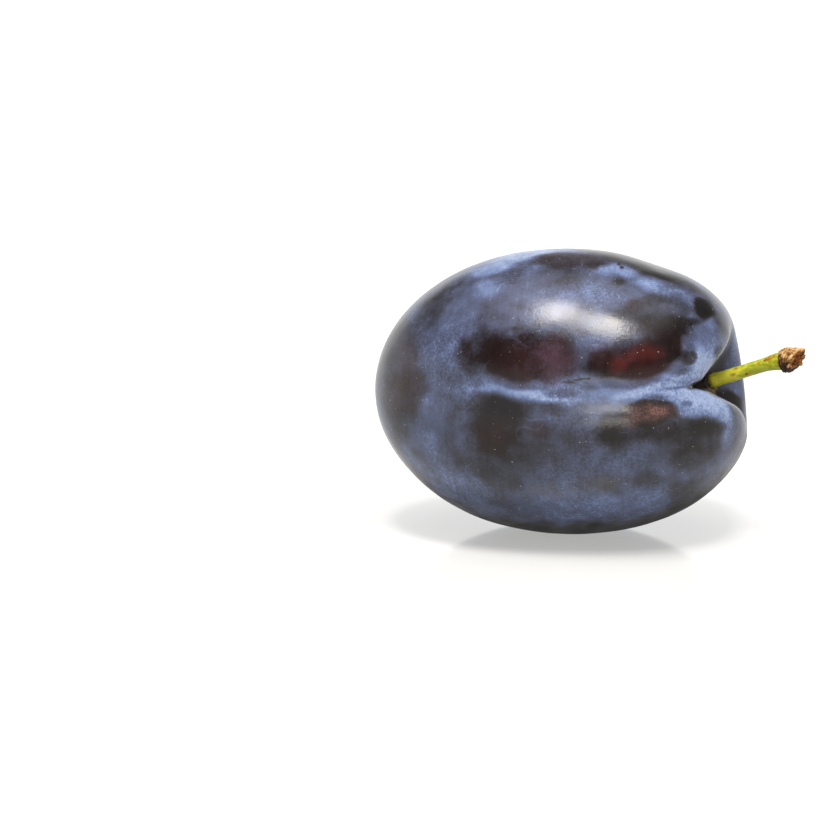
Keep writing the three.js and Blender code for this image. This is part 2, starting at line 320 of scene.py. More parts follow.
# %% Patches of the near side
# Each row: along, round, half-length along, half-length round, lean, bloom left there, strength, softness.
BLOOM_PATCHES = {
    "left shoulder": (60, 28, 16, 20, 0, 0.68, 0.6, 0.6),
    "upper flank": (88, 42, 26, 14, 0, 0.67, 0.6, 0.6),
    "upper flank shade": (90, 48, 6, 4.6, 0, 0.32, 0.7, 0.8),
    "upper flank light": (102, 40, 6.5, 4.4, 0, 0.8, 0.6, 0.8),
    "upper flank left": (68, 29, 7, 8, -0.2, 0.46, 0.6, 0.8),
    "middle flank": (104, 22, 10, 18, 0, 0.5, 0.6, 0.6),
    "lower flank": (95, -27, 30, 16, 0, 0.43, 0.75, 0.6),
    "lower olive": (83, -28, 8, 6, 0, 0.37, 0.7, 0.7),
    "lower pale": (92, -34, 9, 4, 0, 0.55, 0.6, 0.7),
    "lower pale right": (111, -31, 8, 5, 0, 0.54, 0.7, 0.7),
    "lower blue band": (104, -52, 24, 8, 0, 0.6, 0.8, 0.5),
    "lower blue heart": (117, -54, 12, 7, -0.3, 0.66, 0.75, 0.7),
    "lower left blue": (78, -46, 9, 8, 0, 0.5, 0.6, 0.6),
    # Painted shade: darker low on the left.
    "lower left shade": (68, -38, 7, 7, 0, 0.3, 0.6, 0.8),
    "underside": (100, -81, 54, 14, 0, 0.08, 0.95, 0.45),
    "seam": (96, -1.6, 40, 3.6, 0, 0.78, 0.9, 0.6),
    "seam left": (80, -2, 15, 2.3, 0, 0.98, 0.88, 0.6),
    "seam brown": (93, -1, 6, 1.8, 0, 0.42, 0.75, 0.6),
    "seam right": (118, -0.5, 8, 1.9, 0, 0.92, 0.85, 0.5),
    "seam shoulder": (131, -1, 12, 2.8, -0.1, 0.95, 0.85, 0.6),
    "above the seam": (102, 5, 15, 2.7, 0, 0.62, 0.75, 0.6),
    "above the seam left": (78, 3, 14, 2.2, 0, 0.7, 0.7, 0.6),
    "left pale": (66, 64, 9, 6, 0, 0.86, 0.8, 0.5),
    "left crown": (73, 76, 17, 12, 0.25, 1.0, 0.95, 0.6),
    "left crown end": (61, 60, 5, 6, 0, 0.92, 0.8, 0.6),
    "left dark": (71, 52, 4, 6, -0.4, 0.42, 0.7, 0.6),
    "left blue": (60, 47, 6, 6, -0.5, 0.84, 0.75, 0.5),
    "left violet": (62, 28, 6, 4, 0, 0.42, 0.6, 0.6),
    "brow": (90, 63, 16.5, 8, 0, 0.25, 0.88, 0.35),
    "brow lobe": (93, 53, 6.5, 4.5, -0.2, 0.3, 0.75, 0.45),
    "ridge": (120, 76, 24, 9, -0.3, 0.12, 0.86, 0.5),
    "ridge low": (124, 67, 10, 4, -0.3, 0.12, 0.8, 0.35),
    "bright band start": (106, 57, 3, 4, 0, 0.78, 0.8, 0.5),
    "bright band rise": (112, 61, 5, 4.5, -0.2, 0.86, 0.85, 0.5),
    "bright band": (123, 55.5, 7, 4.4, -0.1, 0.85, 0.85, 0.6),
    "bright band end": (135, 55, 5, 2.4, 0.5, 0.68, 0.75, 0.6),
    "band stain": (112.2, 51, 2.4, 2.2, 0.3, 0.26, 0.85, 0.6),
    "smudge": (119, 37, 5.5, 4.5, 0.5, 0.22, 0.75, 0.5),
    "smudge right": (127, 45, 4.2, 5, 0.4, 0.2, 0.75, 0.5),
    "shoulder shade": (134, 43, 9, 6, 0, 0.32, 0.7, 0.6),
    "shoulder edge": (142, 62, 8, 6, 0, 0.4, 0.6, 0.5),
    "shoulder": (149, 29, 7, 13, 0.4, 0.62, 0.85, 0.6),
    "rub top": (123, 29, 12, 7.5, 0, 0.18, 0.85, 0.6),
    "rub crest": (131, 37, 6, 4, 0, 0.3, 0.6, 0.5),
    "rub right": (131, 21, 7.4, 11, 1.2, 0.09, 0.92, 0.5),
    "rub core": (134, 28, 5.5, 8, 0.4, 0.08, 0.8, 0.6),
    "rub horn": (140, 34, 3.4, 3, 0.5, 0.2, 0.75, 0.6),
    "rub left": (107, 14, 7.5, 8, 0, 0.24, 0.75, 0.6),
    "rub heart": (122, 12, 10.8, 8.8, 0.2, 0.17, 0.95, 0.4),
    "rub foot": (124, 7.8, 6.8, 2.9, 0, 0.13, 0.9, 0.35),
    "rub left foot": (108, 11, 6.2, 5, 0, 0.15, 0.85, 0.5),
    "rub veil": (106, 20, 5.4, 3.6, 0, 0.7, 0.68, 0.7),
    "violet by the seam": (113, 3.2, 12.5, 1.9, 0, 0.64, 0.9, 0.5),
    "seam light": (113, 0.3, 5.5, 1.1, 0, 0.84, 0.8, 0.5),
    "left rub": (80.5, 14, 19, 9.4, 0, 0.2, 0.94, 0.2),
    "left rub middle": (76, 12.5, 10, 9.2, 0, 0.15, 0.6, 0.5),
    "left rub dark": (64, 14, 9, 9, 0, 0.06, 0.85, 0.5),
    "left rub mauve": (91.5, 14, 7, 7.6, 0, 0.38, 0.75, 0.7),
    "left rub corner": (95.5, 20, 3.4, 2.9, 0, 0.26, 0.5, 0.7),
    "between the rubs": (101, 16.6, 2.8, 5, 0, 0.6, 0.6, 0.7),
    "above cavity": (146, 12, 9, 8.5, 0, 0.98, 0.9, 0.5),
    "above cavity foot": (138, 4.4, 9, 2.6, 0, 0.94, 0.85, 0.5),
    "below cavity": (145, -12, 10, 7, -0.4, 0.98, 0.95, 0.4),
    "below cavity left": (137, -6, 6, 3, 0, 0.92, 0.8, 0.5),
    "below cavity stain": (137, -10, 2.2, 2, -0.1, 0.5, 0.8, 0.4),
    # Painted reflection: thick pale wax along the lower right rim stands in for the silver sheen of the white
    # surroundings.
    "rim reflection strip": (150.5, -33, 3.1, 14, -1.2, 0.93, 0.88, 0.5),
    "right rim": (154, -45, 3.4, 15, -0.8, 0.4, 0.6, 0.8),
    "crown of the shoulder": (156, 48, 4, 12, 0.4, 0.3, 0.75, 0.7),
    "round spot": (146, 50, 4.2, 8.4, 1.1, 0.02, 0.97, 0.45),
    "small smudge": (135, 7, 3.4, 1.8, 0, 0.45, 0.7, 0.5),
    "beside the rub": (138.2, 19.5, 2.6, 5, 0.5, 0.6, 0.75, 0.6),
    "beside the rub foot": (134, 9.6, 2.8, 3.2, 0.8, 0.62, 0.7, 0.6),
    "small spot": (138.7, 14, 3.4, 3.7, 0, 0.2, 0.86, 0.4),
    "lip shade": (146, 19.5, 4, 4, 0.3, 0.74, 0.6, 0.8),
    "below seam left": (71, -8.5, 12, 4.6, 0, 0.15, 0.85, 0.8),
    "below seam left foot": (67, -20, 8.5, 9, 0, 0.06, 0.88, 0.9),
    "blue by it": (86, -10, 5, 4, 0, 0.6, 0.6, 0.5),
    "slate spot": (91, -8, 5.5, 2.3, 0, 0.3, 0.7, 0.5),
    "mottle": (85, -17, 4.2, 3, 0, 0.3, 0.75, 0.5),
    "violet": (104, -14, 5, 4, 0, 0.52, 0.6, 0.5),
    "under glint": (106, -8.5, 8, 3, 0, 0.5, 0.7, 0.5),
    "olive by the oval": (112, -11.8, 4.6, 2.4, 0, 0.14, 0.8, 0.75),
    "lower rub": (113.5, -17.6, 7, 4.2, -0.1, 0.1, 0.88, 0.75),
    "below oval": (128, -20, 11, 5, -0.3, 0.26, 0.75, 0.6),
    "lower rub right": (122, -18.6, 7.5, 3, -0.25, 0.22, 0.8, 0.6),
    "oval": (124.1, -11.2, 8.4, 6, -0.32, 0.02, 0.97, 0.25),
    "oval brow": (126.5, -5.9, 5, 0.9, -0.25, 0.12, 0.75, 0.4),
    "lower shoulder": (138, -30.5, 9, 10.5, -0.6, 0.2, 0.85, 0.6),
    "lower shoulder rub": (143.5, -26.5, 5, 4.4, -0.6, 0.09, 0.85, 0.6),
    "lower shoulder foot": (139, -38, 8, 9, -0.8, 0.24, 0.6, 0.8),
    "below cavity foot": (140, -15.8, 4.6, 2.6, -0.3, 0.84, 0.75, 0.8),
    "beside the oval": (135.3, -12.4, 2.6, 3.4, -0.5, 0.78, 0.75, 0.8),
    "olive spot": (123, -41, 4.2, 4.8, -0.4, 0.27, 0.75, 0.9),
    "lower right": (135, -61, 6, 11, -0.9, 0.2, 0.8, 0.9),
    "seam scratch": (96.5, 3.3, 2.6, 0.42, 0, 0.05, 0.6, 0.35),
    "seam scratch end": (102, 4.8, 2.4, 0.4, 0, 0.05, 0.7, 0.35),
    "seam scratch middle": (99.2, 4.1, 1.8, 0.4, 0, 0.05, 0.65, 0.35),
    "nick": (111.2, 66, 0.5, 1.9, 0, 0.05, 0.7, 0.3),
    "nick end": (112.6, 63.3, 0.5, 1.6, 0, 0.05, 0.7, 0.3),
    # Painted shade: a darker line of thinner wax along the crease.
    "crease shade line": (136, -0.6, 9, 0.5, 0, 0.35, 0.6, 0.6),
    "seam shade": (129, -0.8, 4, 1.6, 0, 0.7, 0.6, 0.8),
    # Painted shade: bare skin down the crease into the cavity stands in for the deep slot's shade.
    "crease": (155, -1.6, 12, 1.9, 0, 0.0, 1.0, 0.3),
    # The cavity's walls: their wax is partly the skin's own and partly painted shade of the deep hollow, with
    # painted shadow below the stalk and painted shade above it.
    "cavity wall above": (168, 140, 7, 40, 0, 0.62, 0.85, 0.5),
    "cavity wall right": (165, -175, 6, 24, 0, 0.56, 0.8, 0.6),
    "cavity wall edge": (165.5, 122, 3, 18, 0, 0.85, 0.7, 0.6),
    "cavity shadow": (171.5, -138, 4, 16, 0, 0.06, 0.95, 0.6),
    "cavity shade above": (173, 138, 3.6, 28, 0, 0.2, 0.75, 0.6),
    "cavity wall blue": (169, -163, 3.6, 12, 0, 0.62, 0.9, 0.5),
}
# Red flesh that shows through: along, round, the two half-lengths, lean, strength, softness.
BLUSH_PATCHES = {
    "left": (80, 12, 9, 8, 0, 0.16, 0.9),
    "left wide": (78, 13, 19, 9.5, 0, 0.09, 0.5),
    "left low": (80, 5, 6, 4, 0, 0.12, 0.9),
    "left mauve": (91, 13, 7, 7.5, 0, 0.34, 0.9),
    "low left": (67, -20, 7, 6, 0, 0.09, 0.8),
    "brow": (90, 64, 14, 7, 0, 0.1, 0.7),
    "heart start": (114.6, 11, 3, 3.4, 0.1, 0.66, 0.9),
    "heart rise": (119.5, 14.2, 4.8, 3.3, 0.4, 0.52, 0.9),
    "heart top": (122.8, 15.4, 5.4, 3.7, 0.1, 0.52, 0.8),
    "heart inside": (123, 8, 7.4, 5, 0, 0.22, 0.9),
    "rub left": (108, 14, 6, 6, 0, 0.13, 0.8),
    "rub": (128, 22, 9, 9, 0, 0.06, 0.6),
    "upper flank": (80, 38, 24, 16, 0, 0.055, 0.9),
    "smudge": (118, 38, 5, 4, 0.5, 0.12, 0.7),
    "mottle": (85, -17, 4, 3, 0, 0.12, 0.7),
}
# Rough brown crust, in the same order.
RUSSET_PATCHES = {
    "oval": (124.4, -11.3, 7.4, 5.3, -0.32, 0.76, 0.5),
    "oval right": (127, -10.6, 4, 3.2, -0.3, 1.0, 0.6),
    "oval left": (119, -12, 3.6, 3, -0.2, 0.6, 0.7),
}
# Skin that mirrors no lamp sharply, in the same order.
DULL_PATCHES = {
    "underside": (95, -95, 62, 26, 0, 0.75, 0.6),
    "above the seam": (112, 2.0, 15, 2.5, 0, 0.8, 0.7),
}
print("patches of bloom, blush and crust:", len(BLOOM_PATCHES), len(BLUSH_PATCHES), len(RUSSET_PATCHES))

# %% Laying the patches
BLOOM_LEVEL = 0.5
FAR_PATCHES, FAR_SEED = 70, 31
TIP_SHARE, RUBBED_SHARE, BLUSHED_SHARE = 0.25, 0.62, 0.35
TIP_STRENGTH, FAR_BLUSH = 0.6, 0.25
FAINT_BELOW, FAINT_OVER = 10, 40  # degrees along: no strength below the first, full strength this far past it


def lay_bloom():
    """The bloom's thickness, 0 to 1: an uneven level, changed patch by patch, where a few patches are painted
    shade and one a painted reflection.
    """
    bloom = BLOOM_LEVEL + 0.09 * cloud(skin, 9, 11)
    bloom = bloom + 0.09 * cloud(skin, 3.5, 12) + 0.06 * cloud(skin, 1.3, 13)
    for *ellipse, left, strength, softness in BLOOM_PATCHES.values():
        bloom = blend(bloom, left, strength * patch(*ellipse, softness))
    return bloom


def lay_tint(patches):
    """How strongly a tint shows, 0 to 1: the strongest patch wins."""
    tint = np.zeros_like(along_degrees)
    for *ellipse, strength, softness in patches.values():
        tint = np.maximum(tint, strength * patch(*ellipse, softness))
    return tint


def rub_far_side(bloom, blush):
    """The same wear for the sides that face away: seeded patches, fainter towards the tip."""
    dice = np.random.default_rng(FAR_SEED)
    for _ in range(FAR_PATCHES):
        along, round_ = dice.uniform(12, 158), dice.uniform(96, 262)
        at_tip = dice.random() < TIP_SHARE
        if at_tip:
            along, round_ = dice.uniform(5, 42), dice.uniform(-90, 90)
        half_along = dice.uniform(2.5, 11)
        half_round = dice.uniform(4, 9) / max(math.sin(math.radians(along)), 0.3)
        rubbed = dice.random() < RUBBED_SHARE
        left = dice.uniform(0.12, 0.3) if rubbed else dice.uniform(0.6, 0.95)
        strength, softness = dice.uniform(0.55, 0.9), dice.uniform(0.35, 0.8)
        strength = strength * min(1, half_along / 6)
        mask = strength * patch(along, round_, half_along, half_round, dice.uniform(-0.5, 0.5), softness)
        mask = mask * (TIP_STRENGTH if at_tip else ease((along - FAINT_BELOW) / FAINT_OVER))
        bloom = blend(bloom, left, mask)
        if rubbed and dice.random() < BLUSHED_SHARE:
            blush = np.maximum(blush, FAR_BLUSH * mask)
    return bloom, blush


bloom, blush = rub_far_side(lay_bloom(), lay_tint(BLUSH_PATCHES))
russet = lay_tint(RUSSET_PATCHES)
print("bloom from", round(bloom.min(), 2), "to", round(bloom.max(), 2))

# %% The skin round the stalk's foot, in millimetres
OLIVE_REACH, OLIVE_FADE, OLIVE_STRENGTH = 4.5, 1.5, 0.8
OLIVE_SIDE, OLIVE_SPREAD = 20, 75  # degrees round from the seam
TORN_REACH, TORN_FADE, TORN_BELOW, TORN_EDGE = 3.0, 0.8, 0.4, 0.5
DULL_REACH, DULL_FADE = 10, 5
STREAKS_FROM, STREAKS_FADE = 7, 6  # from the axis

stalk_foot = skin[-1, 0]
from_foot = np.linalg.norm(skin - stalk_foot, axis=-1) + 0.5 * cloud(skin, 1.2, 21)
near_side = bell(degrees_from(OLIVE_SIDE, round_degrees), OLIVE_SPREAD)
olive = OLIVE_STRENGTH * ease((OLIVE_REACH - from_foot) / OLIVE_FADE) * near_side
below_foot = stalk_foot[2] - TORN_BELOW - skin[..., 2]
torn = ease((TORN_REACH - from_foot) / TORN_FADE) * ease(below_foot / TORN_EDGE)
axis_lift = stalk_foot[2] * ease(skin[..., 0] / STALK_REACH)
flank = ease((np.hypot(skin[..., 1], skin[..., 2] - axis_lift) - STREAKS_FROM) / STREAKS_FADE)
dull = np.maximum(ease((DULL_REACH - from_foot) / DULL_FADE), lay_tint(DULL_PATCHES))
print("stalk foot at", stalk_foot.round(1), "mm from the body's centre")

# %% [markdown]
# ## The fruit
#
# The grid becomes a mesh a little finer than the marks on it. Real skin is
# never quite even, so the points also move in and out by a few hundredths of a
# millimetre, which breaks up the highlights. The lowest skin is pressed level,
# as the solid's is.

# %% The fruit's mesh
UNEVENNESS = 0.05
outward = skin / np.linalg.norm(skin, axis=-1, keepdims=True)
swell = UNEVENNESS * (cloud(skin, 6, 41) + 0.5 * cloud(skin, 2.5, 42)) * (1 - hollow)
swell[[0, -1]] = swell[[0, -1]].mean(axis=1, keepdims=True)
fruit_points = (skin + outward * swell[..., None]) * MM + np.array(BODY_CENTRE)
fruit_points[..., 2] = np.maximum(fruit_points[..., 2], 0)

fruit = closed_surface(
    "fruit_skin",
    fruit_points,
    {
        "bloom": bloom,
        "blush": blush,
        "russet": russet,
        "foot": from_foot,
        "olive": olive,
        "torn": torn,
        "dull": dull,
        "flank": flank,
    },
)
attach(fruit, "root")
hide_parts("fruit")
print("fruit:", len(fruit.data.polygons), "faces,", round(fruit.dimensions.x / MM, 1), "mm long")

# %% [markdown]
# ## Materials
#
# Nodes are easier to follow in code with one small helper that adds a node,
# sets its values and links what comes in. Grain and specks are wanted on the
# skin and on the stalk, at different sizes, so each is a group with its own
# inputs, and each material places it with its own values.


# %% Node helpers
def add_node(tree, kind, inputs=None, **settings):
    """A node of this kind: an input given as a socket is linked, and any other value is set."""
    node = tree.nodes.new(kind)
    for name, value in settings.items():
        setattr(node, name, value)
    for name, value in (inputs or {}).items():
        if isinstance(value, bpy.types.NodeSocket):
            tree.links.new(value, node.inputs[name])
        else:
            node.inputs[name].default_value = value
    return node


def reckon(tree, operation, *values, clamp=False):
    """The result of a Math node."""
    node = add_node(tree, "ShaderNodeMath", dict(enumerate(values)), operation=operation, use_clamp=clamp)
    return node.outputs[0]


def mix_colors(tree, share, low, high):
    """A colour between two: low where the share is 0, high where it is 1."""
    node = add_node(tree, "ShaderNodeMix", {0: share, 6: low, 7: high}, data_type="RGBA")
    return node.outputs[2]


def mix_values(tree, share, low, high):
    """A number between two: low where the share is 0, high where it is 1."""
    return add_node(tree, "ShaderNodeMix", {0: share, 2: low, 3: high}).outputs[0]


def soft_step(tree, value, low, high, to_low=0.0, to_high=1.0):
    """A smooth rise from to_low to to_high as the value goes from low to high."""
    inputs = {0: value, 1: low, 2: high, 3: to_low, 4: to_high}
    return add_node(tree, "ShaderNodeMapRange", inputs, interpolation_type="SMOOTHSTEP").outputs[0]


def color(red, green, blue):
    """A linear colour as a socket takes it, opaque."""
    return (red, green, blue, 1)


def read_value(tree, name):
    """The value that the mesh stores at each point under this name."""
    return add_node(tree, "ShaderNodeAttribute", attribute_name=name).outputs["Fac"]


# %% Grain, as a group
def begin_group(name, inputs, output):
    """An empty group with one output, and its inputs at the values they have until a material sets them."""
    tree = bpy.data.node_groups.new(name, "ShaderNodeTree")
    for input_name, default in inputs.items():
        kind = "NodeSocketVector" if isinstance(default, tuple) else "NodeSocketFloat"
        tree.interface.new_socket(input_name, in_out="INPUT", socket_type=kind).default_value = default
    tree.interface.new_socket(output, in_out="OUTPUT", socket_type="NodeSocketFloat")
    return tree, tree.nodes.new("NodeGroupInput")


def make_grain():
    """Noise about zero: finer and rougher octaves, stretched along any axis of the object."""
    defaults = {"Repeats per metre": (1000, 1000, 1000), "Octaves": 4, "Harshness": 0.6}
    tree, given = begin_group("grain", defaults, "Value")
    place = add_node(tree, "ShaderNodeTexCoord").outputs["Object"]
    inputs = {0: place, 1: given.outputs["Repeats per metre"]}
    scaled = add_node(tree, "ShaderNodeVectorMath", inputs, operation="MULTIPLY").outputs[0]
    noise_inputs = {
        "Vector": scaled,
        "Scale": 1.0,
        "Detail": given.outputs["Octaves"],
        "Roughness": given.outputs["Harshness"],
    }
    noise = add_node(tree, "ShaderNodeTexNoise", noise_inputs)
    result = tree.nodes.new("NodeGroupOutput")
    tree.links.new(reckon(tree, "SUBTRACT", noise.outputs[0], 0.5), result.inputs["Value"])
    return tree


# %% Specks, as a group
def make_specks():
    """Small round dots, one in each cell of a scattered lattice, of which only a share show."""
    defaults = {"Cells per metre": 300, "Size": 0.06, "Share": 0.3}
    tree, given = begin_group("specks", defaults, "Mask")
    place = add_node(tree, "ShaderNodeTexCoord").outputs["Object"]
    lattice = {"Vector": place, "Scale": given.outputs["Cells per metre"]}
    cells = add_node(tree, "ShaderNodeTexVoronoi", lattice)
    draw = add_node(tree, "ShaderNodeSeparateColor", {0: cells.outputs["Color"]})
    size = reckon(tree, "MULTIPLY", given.outputs["Size"], reckon(tree, "ADD", draw.outputs[1], 0.4))
    edge = reckon(tree, "SUBTRACT", size, cells.outputs["Distance"])
    dot = reckon(tree, "DIVIDE", edge, reckon(tree, "MULTIPLY", size, 0.4), clamp=True)
    shown = reckon(tree, "LESS_THAN", draw.outputs[0], given.outputs["Share"])
    result = tree.nodes.new("NodeGroupOutput")
    tree.links.new(reckon(tree, "MULTIPLY", dot, shown), result.inputs["Mask"])
    return tree


GRAIN, SPECKS = make_grain(), make_specks()
print("groups:", [group.name for group in (GRAIN, SPECKS)])


# %% Placing the groups and beginning a material
def place_group(tree, group, inputs):
    """Where a group comes out in a material, fed with that material's own values."""
    return add_node(tree, "ShaderNodeGroup", inputs, node_tree=group).outputs[0]


def place_grain(tree, repeats, octaves=4, harshness=0.6):
    """Grain with its repeats per metre given along X, Y and Z, or one number for all three."""
    repeats = repeats if isinstance(repeats, tuple) else (repeats, repeats, repeats)
    inputs = {"Repeats per metre": repeats, "Octaves": octaves, "Harshness": harshness}
    return place_group(tree, GRAIN, inputs)


def place_specks(tree, cells, size, share):
    """Specks: how many cells to a metre, how large a dot is in its cell, and what share of cells have one."""
    return place_group(tree, SPECKS, {"Cells per metre": cells, "Size": size, "Share": share})


def begin_material(name, **shader_inputs):
    """A material with one Principled BSDF, on which everything that is the same all over is set."""
    material = bpy.data.materials.new(name)
    material.use_nodes = True
    shader = material.node_tree.nodes["Principled BSDF"]
    for socket, value in shader_inputs.items():
        shader.inputs[socket.replace("_", " ")].default_value = value
    return material, material.node_tree, shader


def add_bump(tree, shader, height, distance, strength=1.0):
    """Small relief for the shader's normal: height 0 to 1 stands for 0 to `distance` metres."""
    inputs = {"Height": height, "Distance": distance, "Strength": strength}
    tree.links.new(add_node(tree, "ShaderNodeBump", inputs).outputs[0], shader.inputs["Normal"])


# %% [markdown]
# ## Skin
#
# The skin has a base of almost black violet. The stored bloom value, made
# uneven by grain of several sizes, runs through a ramp of colours from bare
# skin to thick wax. Streaks run round the body, as rubbing hands leave them.
# Wax is dull and bare skin is glossy, so the same value sets the roughness.


# %% A ramp of colours, and thin curved lines
def ramp(tree, value, stops):
    """Colours that change evenly between stops, each given as a place and a linear colour."""
    node = add_node(tree, "ShaderNodeValToRGB", {0: value})
    bands = node.color_ramp.elements
    while len(bands) < len(stops):
        bands.new(1)
    for band, (position, stop_color) in zip(bands, stops):
        band.position = position
        band.color = color(*stop_color)
    return node.outputs[0]


def hairlines(tree, grain, gate):
    """Thin curved lines where the grain crosses zero, kept only where the gate is high."""
    line = soft_step(tree, reckon(tree, "ABSOLUTE", grain), 0.0, 0.012, 1.0, 0.0)
    return reckon(tree, "MULTIPLY", line, soft_step(tree, gate, 0.08, 0.16))


# %% How thick the wax shows
STREAK_AMOUNT, FOG_AMOUNT, MOTTLE_AMOUNT, SCRATCH_AMOUNT = 0.14, 0.34, 0.4, 0.12


def wax_thickness(tree, mottle, dust):
    """The stored bloom plus streaks on the flank, fog, mottling, stipple and scratches, kept from 0 to 1."""
    stored = read_value(tree, "bloom")
    fog = place_grain(tree, 130, 3, 0.55)
    streaks = place_grain(tree, (1900, 130, 130), 5, 0.62)
    streaks = reckon(tree, "MULTIPLY", streaks, read_value(tree, "flank"))
    wax = reckon(tree, "MULTIPLY_ADD", streaks, STREAK_AMOUNT, stored)
    wax = reckon(tree, "MULTIPLY_ADD", fog, FOG_AMOUNT, wax)
    wax = reckon(tree, "MULTIPLY_ADD", mottle, MOTTLE_AMOUNT, wax)
    stippled = reckon(tree, "MULTIPLY", stored, soft_step(tree, fog, -0.12, 0.12, 0.15, 0.75))
    stipple = reckon(tree, "MULTIPLY", dust, reckon(tree, "ADD", stippled, 0.06))
    bends, gate = place_grain(tree, (90, 120, 160), 2, 0.5), place_grain(tree, 200, 1, 0.5)
    scratches = reckon(tree, "MULTIPLY_ADD", hairlines(tree, bends, gate), SCRATCH_AMOUNT, stipple)
    wax = reckon(tree, "ADD", wax, scratches)
    return reckon(tree, "MINIMUM", reckon(tree, "MAXIMUM", wax, 0), 1)


# %% The skin's colours
WAX_COLORS = [
    (0.0, (0.003, 0.002, 0.002)),
    (0.2, (0.0105, 0.0078, 0.0085)),
    (0.4, (0.037, 0.039, 0.06)),
    (0.6, (0.073, 0.0895, 0.161)),
    (0.8, (0.142, 0.191, 0.352)),
    (1.0, (0.295, 0.365, 0.55)),
]
RED_FLESH = color(0.09, 0.0145, 0.0125)
CRUST_DARK, CRUST_LIGHT = color(0.07, 0.03, 0.027), color(0.215, 0.105, 0.088)
# The second colour is the near-black ring round the stalk's foot: partly brown skin, partly painted shade.
OLIVE, FOOT_BROWN_AND_SHADE = color(0.12, 0.115, 0.035), color(0.016, 0.009, 0.004)
TISSUE_DARK, TISSUE_LIGHT = color(0.05, 0.028, 0.012), color(0.36, 0.23, 0.12)
DUST_BRIGHT, DUST_FAINT = color(0.46, 0.49, 0.55), color(0.3, 0.32, 0.37)


def skin_color(tree, wax, mottle):
    """The wax's colour, and over it blush, crust, the olive, a near-black ring round the stalk's foot that is
    partly brown skin and partly painted shade, torn skin by the stalk, and dust.
    """
    seen = ramp(tree, wax, WAX_COLORS)
    uneven = reckon(tree, "MULTIPLY_ADD", mottle, 0.9, 1)
    blush = reckon(tree, "MULTIPLY", read_value(tree, "blush"), uneven, clamp=True)
    seen = mix_colors(tree, blush, seen, RED_FLESH)

    crumbs, stored = place_grain(tree, 3600, 4, 0.7), read_value(tree, "russet")
    russet = reckon(tree, "MULTIPLY_ADD", mottle, 1.2, stored, clamp=True)
    scab = mix_colors(tree, soft_step(tree, crumbs, -0.12, 0.2), CRUST_DARK, CRUST_LIGHT)
    seen = mix_colors(tree, reckon(tree, "MULTIPLY", russet, stored), seen, scab)

    seen = mix_colors(tree, read_value(tree, "olive"), seen, OLIVE)
    foot = reckon(tree, "MULTIPLY_ADD", crumbs, 2, read_value(tree, "foot"))
    # Partly painted shade: a near-black brown ring where the stalk meets the skin in the cavity.
    seen = mix_colors(tree, soft_step(tree, foot, 3.0, 1.9), seen, FOOT_BROWN_AND_SHADE)
    tissue = mix_colors(tree, soft_step(tree, crumbs, -0.15, 0.15), TISSUE_DARK, TISSUE_LIGHT)
    torn = read_value(tree, "torn")
    frayed = reckon(tree, "MULTIPLY_ADD", crumbs, 1.5, torn, clamp=True)
    seen = mix_colors(tree, reckon(tree, "MULTIPLY", frayed, torn), seen, tissue)

    specks, dusting = place_specks(tree, 1200, 0.09, 0.5), place_specks(tree, 1900, 0.11, 0.3)
    seen = mix_colors(tree, reckon(tree, "MULTIPLY", specks, 0.65), seen, DUST_BRIGHT)
    return mix_colors(tree, reckon(tree, "MULTIPLY", dusting, 0.4), seen, DUST_FAINT)


# %% The skin's material
GLOSS_BARE, GLOSS_WAXED, GLOSS_DULL = 0.15, 0.27, 0.7  # roughness
SKIN_RELIEF = 0.04 * MM


def make_skin():
    """Colour and roughness from the wax, and a fine relief from the mottling and the stipple."""
    material, tree, shader = begin_material("plum_skin", IOR=1.41, Sheen_Weight=0.015, Sheen_Roughness=0.4)
    mottle, dust = place_grain(tree, 420, 5, 0.56), place_grain(tree, 2800, 2, 0.5)
    wax = wax_thickness(tree, mottle, dust)
    tree.links.new(skin_color(tree, wax, mottle), shader.inputs["Base Color"])
    roughness = soft_step(tree, wax, 0.05, 0.95, GLOSS_BARE, GLOSS_WAXED)
    roughness = mix_values(tree, read_value(tree, "dull"), roughness, GLOSS_DULL)
    tree.links.new(roughness, shader.inputs["Roughness"])
    height = reckon(tree, "MULTIPLY_ADD", mottle, 0.5, reckon(tree, "MULTIPLY", dust, 0.3))
    add_bump(tree, shader, height, SKIN_RELIEF)
    return material


fruit.data.materials.append(make_skin())
print("skin:", len(fruit.data.materials[0].node_tree.nodes), "nodes")

# %% [markdown]
# ## The stalk
#
# The stalk is a green shank that turns to wood where it broke off the twig.
# Its shape is a turned profile carried along the same curve as the solid's.
# Folded bark can't be turned, so noise stretched along the stalk and layered
# round it pushes the knob's surface in and out, and the broken end is a real
# hollow with a ragged rim.

# %% The stalk's dimensions, in millimetres from the body's centre
STALK_PATH = np.array([(19.55, 0.02, 2.1), (25.6, -1.3, 4.36), (29.4, -2.3, 5.7), (31.9, -3.42, 6.26)])
STALK_RADIUS, FOOT_RADIUS, NECK_RADIUS, KNOB_RADIUS = 0.93, 1.06, 1.28, 1.68
KNOB_LENGTH, COLLAR, SCAR_DEPTH = 2.6, 0.12, 1.3
SLANT_UP, SLANT_NEAR = 0.5, 0.24
# Share of the knob's radius and share of its length, from the collar to just inside the rim.
KNOB_OUTLINE = [(0.88, 0.12), (0.96, 0.15), (1, 0.3), (1, 0.48)]
KNOB_OUTLINE += [(0.96, 0.68), (0.86, 0.88), (0.74, 1), (0.6, 1)]
# Share of the knob's radius and share of the hollow's depth, from the rim to the middle.
HOLLOW_OUTLINE = [(0.52, 0.35), (0.46, 0.75), (0.34, 1), (0.2, 0.9), (0.1, 0.5), (0, 0.45)]
SHANK_STEPS, SHANK_FROM = 80, 0.2
FOOT_FLARE, NECK_FLARE, FOOT_DISC = 0.12, 0.17, 0.8
STALK_ROWS, STALK_COLUMNS = 400, 220


